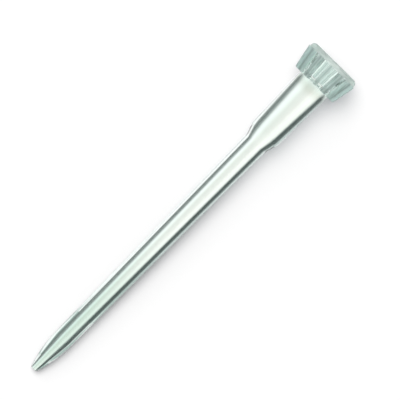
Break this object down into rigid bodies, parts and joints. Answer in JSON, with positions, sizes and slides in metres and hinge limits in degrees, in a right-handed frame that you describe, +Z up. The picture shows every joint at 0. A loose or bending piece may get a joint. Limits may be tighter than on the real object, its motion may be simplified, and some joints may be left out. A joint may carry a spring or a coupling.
{
  "type": "pipette tip",
  "caption": "Slender hollow laboratory pipette tip with a drawn-in outlet, a stepped cone and a ribbed collar round the nozzle seat.",
  "frame": {"origin": "on the surface the tip lies on, under the middle of the box round it", "axes": "+X along the tip from its open end to its mouth, +Z up; the tip's own axis climbs about 3 degrees from +X towards +Z, because the collar is wider than the nose"},
  "size_m": [0.0461, 0.0066, 0.0066],
  "materials": {
    "polypropylene": "clear natural polypropylene, gloss, faintly green-grey where the wall is thick"
  },
  "bodies": {
    "root": {"pipette_tip": "polypropylene"}
  },
  "joints": []
}
